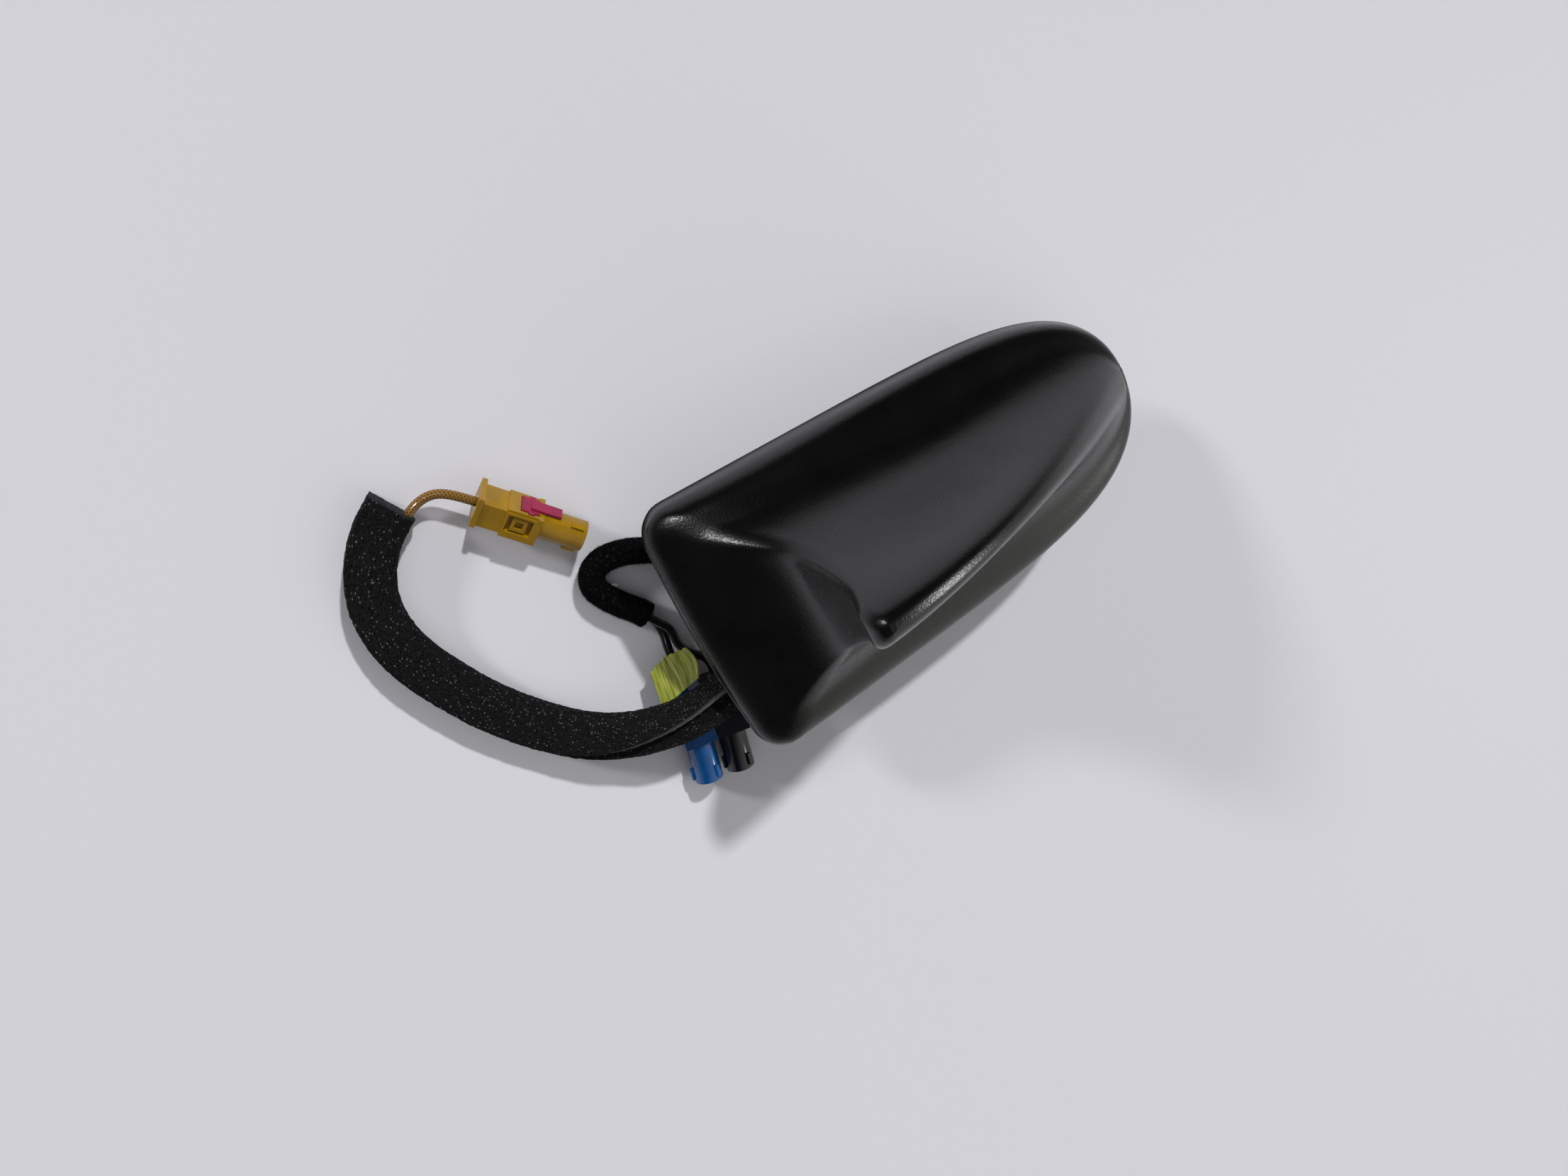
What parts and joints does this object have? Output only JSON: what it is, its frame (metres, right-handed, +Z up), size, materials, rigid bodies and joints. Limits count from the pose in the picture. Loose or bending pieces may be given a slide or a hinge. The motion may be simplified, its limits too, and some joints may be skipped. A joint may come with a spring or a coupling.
{
  "type": "shark fin aerial",
  "caption": "Shark fin roof aerial: moulded fin cover on a cast base with a bolted foot, a foam-sleeved lead and a taped pair of leads ending in coded coaxial plugs.",
  "frame": {"origin": "on the roof skin, on the axis of the fixing bolt", "axes": "+X towards the nose of the fin, +Y to the left, +Z up from the roof"},
  "size_m": [0.2465, 0.1378, 0.0924],
  "materials": {
    "cover_plastic": "satin with a fine grain",
    "cast_metal": "as cast",
    "seal_rubber": "matte",
    "plated_steel": "zinc plated",
    "circuit_board": "solder resist",
    "contact_brass": "plated",
    "patch_ceramic": "matte",
    "tinned_sheet": "tinned",
    "copper_wire": "enamelled",
    "black_coax": "semi-gloss",
    "tan_coax": "semi-gloss, braid showing through",
    "black_foam": "open-cell foam",
    "black_fleece": "fleece tape",
    "crepe_tape": "crepe",
    "yellow_plastic": "satin",
    "blue_plastic": "satin",
    "navy_plastic": "satin",
    "magenta_plastic": "satin",
    "white_plastic": "satin"
  },
  "bodies": {
    "root": {"cover": "cover_plastic", "base_casting": "cast_metal", "roof_seal": "seal_rubber", "foot_gasket": "seal_rubber", "cover_screws": "plated_steel", "board_screws": "plated_steel", "circuit_board": "circuit_board", "patch_feed_pins": "contact_brass", "radio_patch": "patch_ceramic", "nav_patch": "patch_ceramic", "fin_element": "tinned_sheet", "fin_element_clip": "contact_brass", "shield_can": "tinned_sheet", "loading_coil": "copper_wire", "cable_grommet": "seal_rubber", "inner_leads": "black_coax", "radio_lead": "tan_coax", "nav_lead": "black_coax", "broadcast_lead": "black_coax", "foam_sleeve": "black_foam", "fleece_sleeve": "black_fleece", "tape_flag": "crepe_tape", "radio_plug_housing": "yellow_plastic", "radio_plug_lock": "magenta_plastic", "radio_plug_shell": "contact_brass", "radio_plug_insulator": "white_plastic", "radio_plug_pin": "contact_brass", "nav_plug_housing": "blue_plastic", "nav_plug_lock": "magenta_plastic", "nav_plug_shell": "contact_brass", "nav_plug_insulator": "white_plastic", "nav_plug_pin": "contact_brass", "broadcast_plug_housing": "navy_plastic", "broadcast_plug_lock": "magenta_plastic", "broadcast_plug_shell": "contact_brass", "broadcast_plug_insulator": "white_plastic", "broadcast_plug_pin": "contact_brass"}
  },
  "joints": []
}
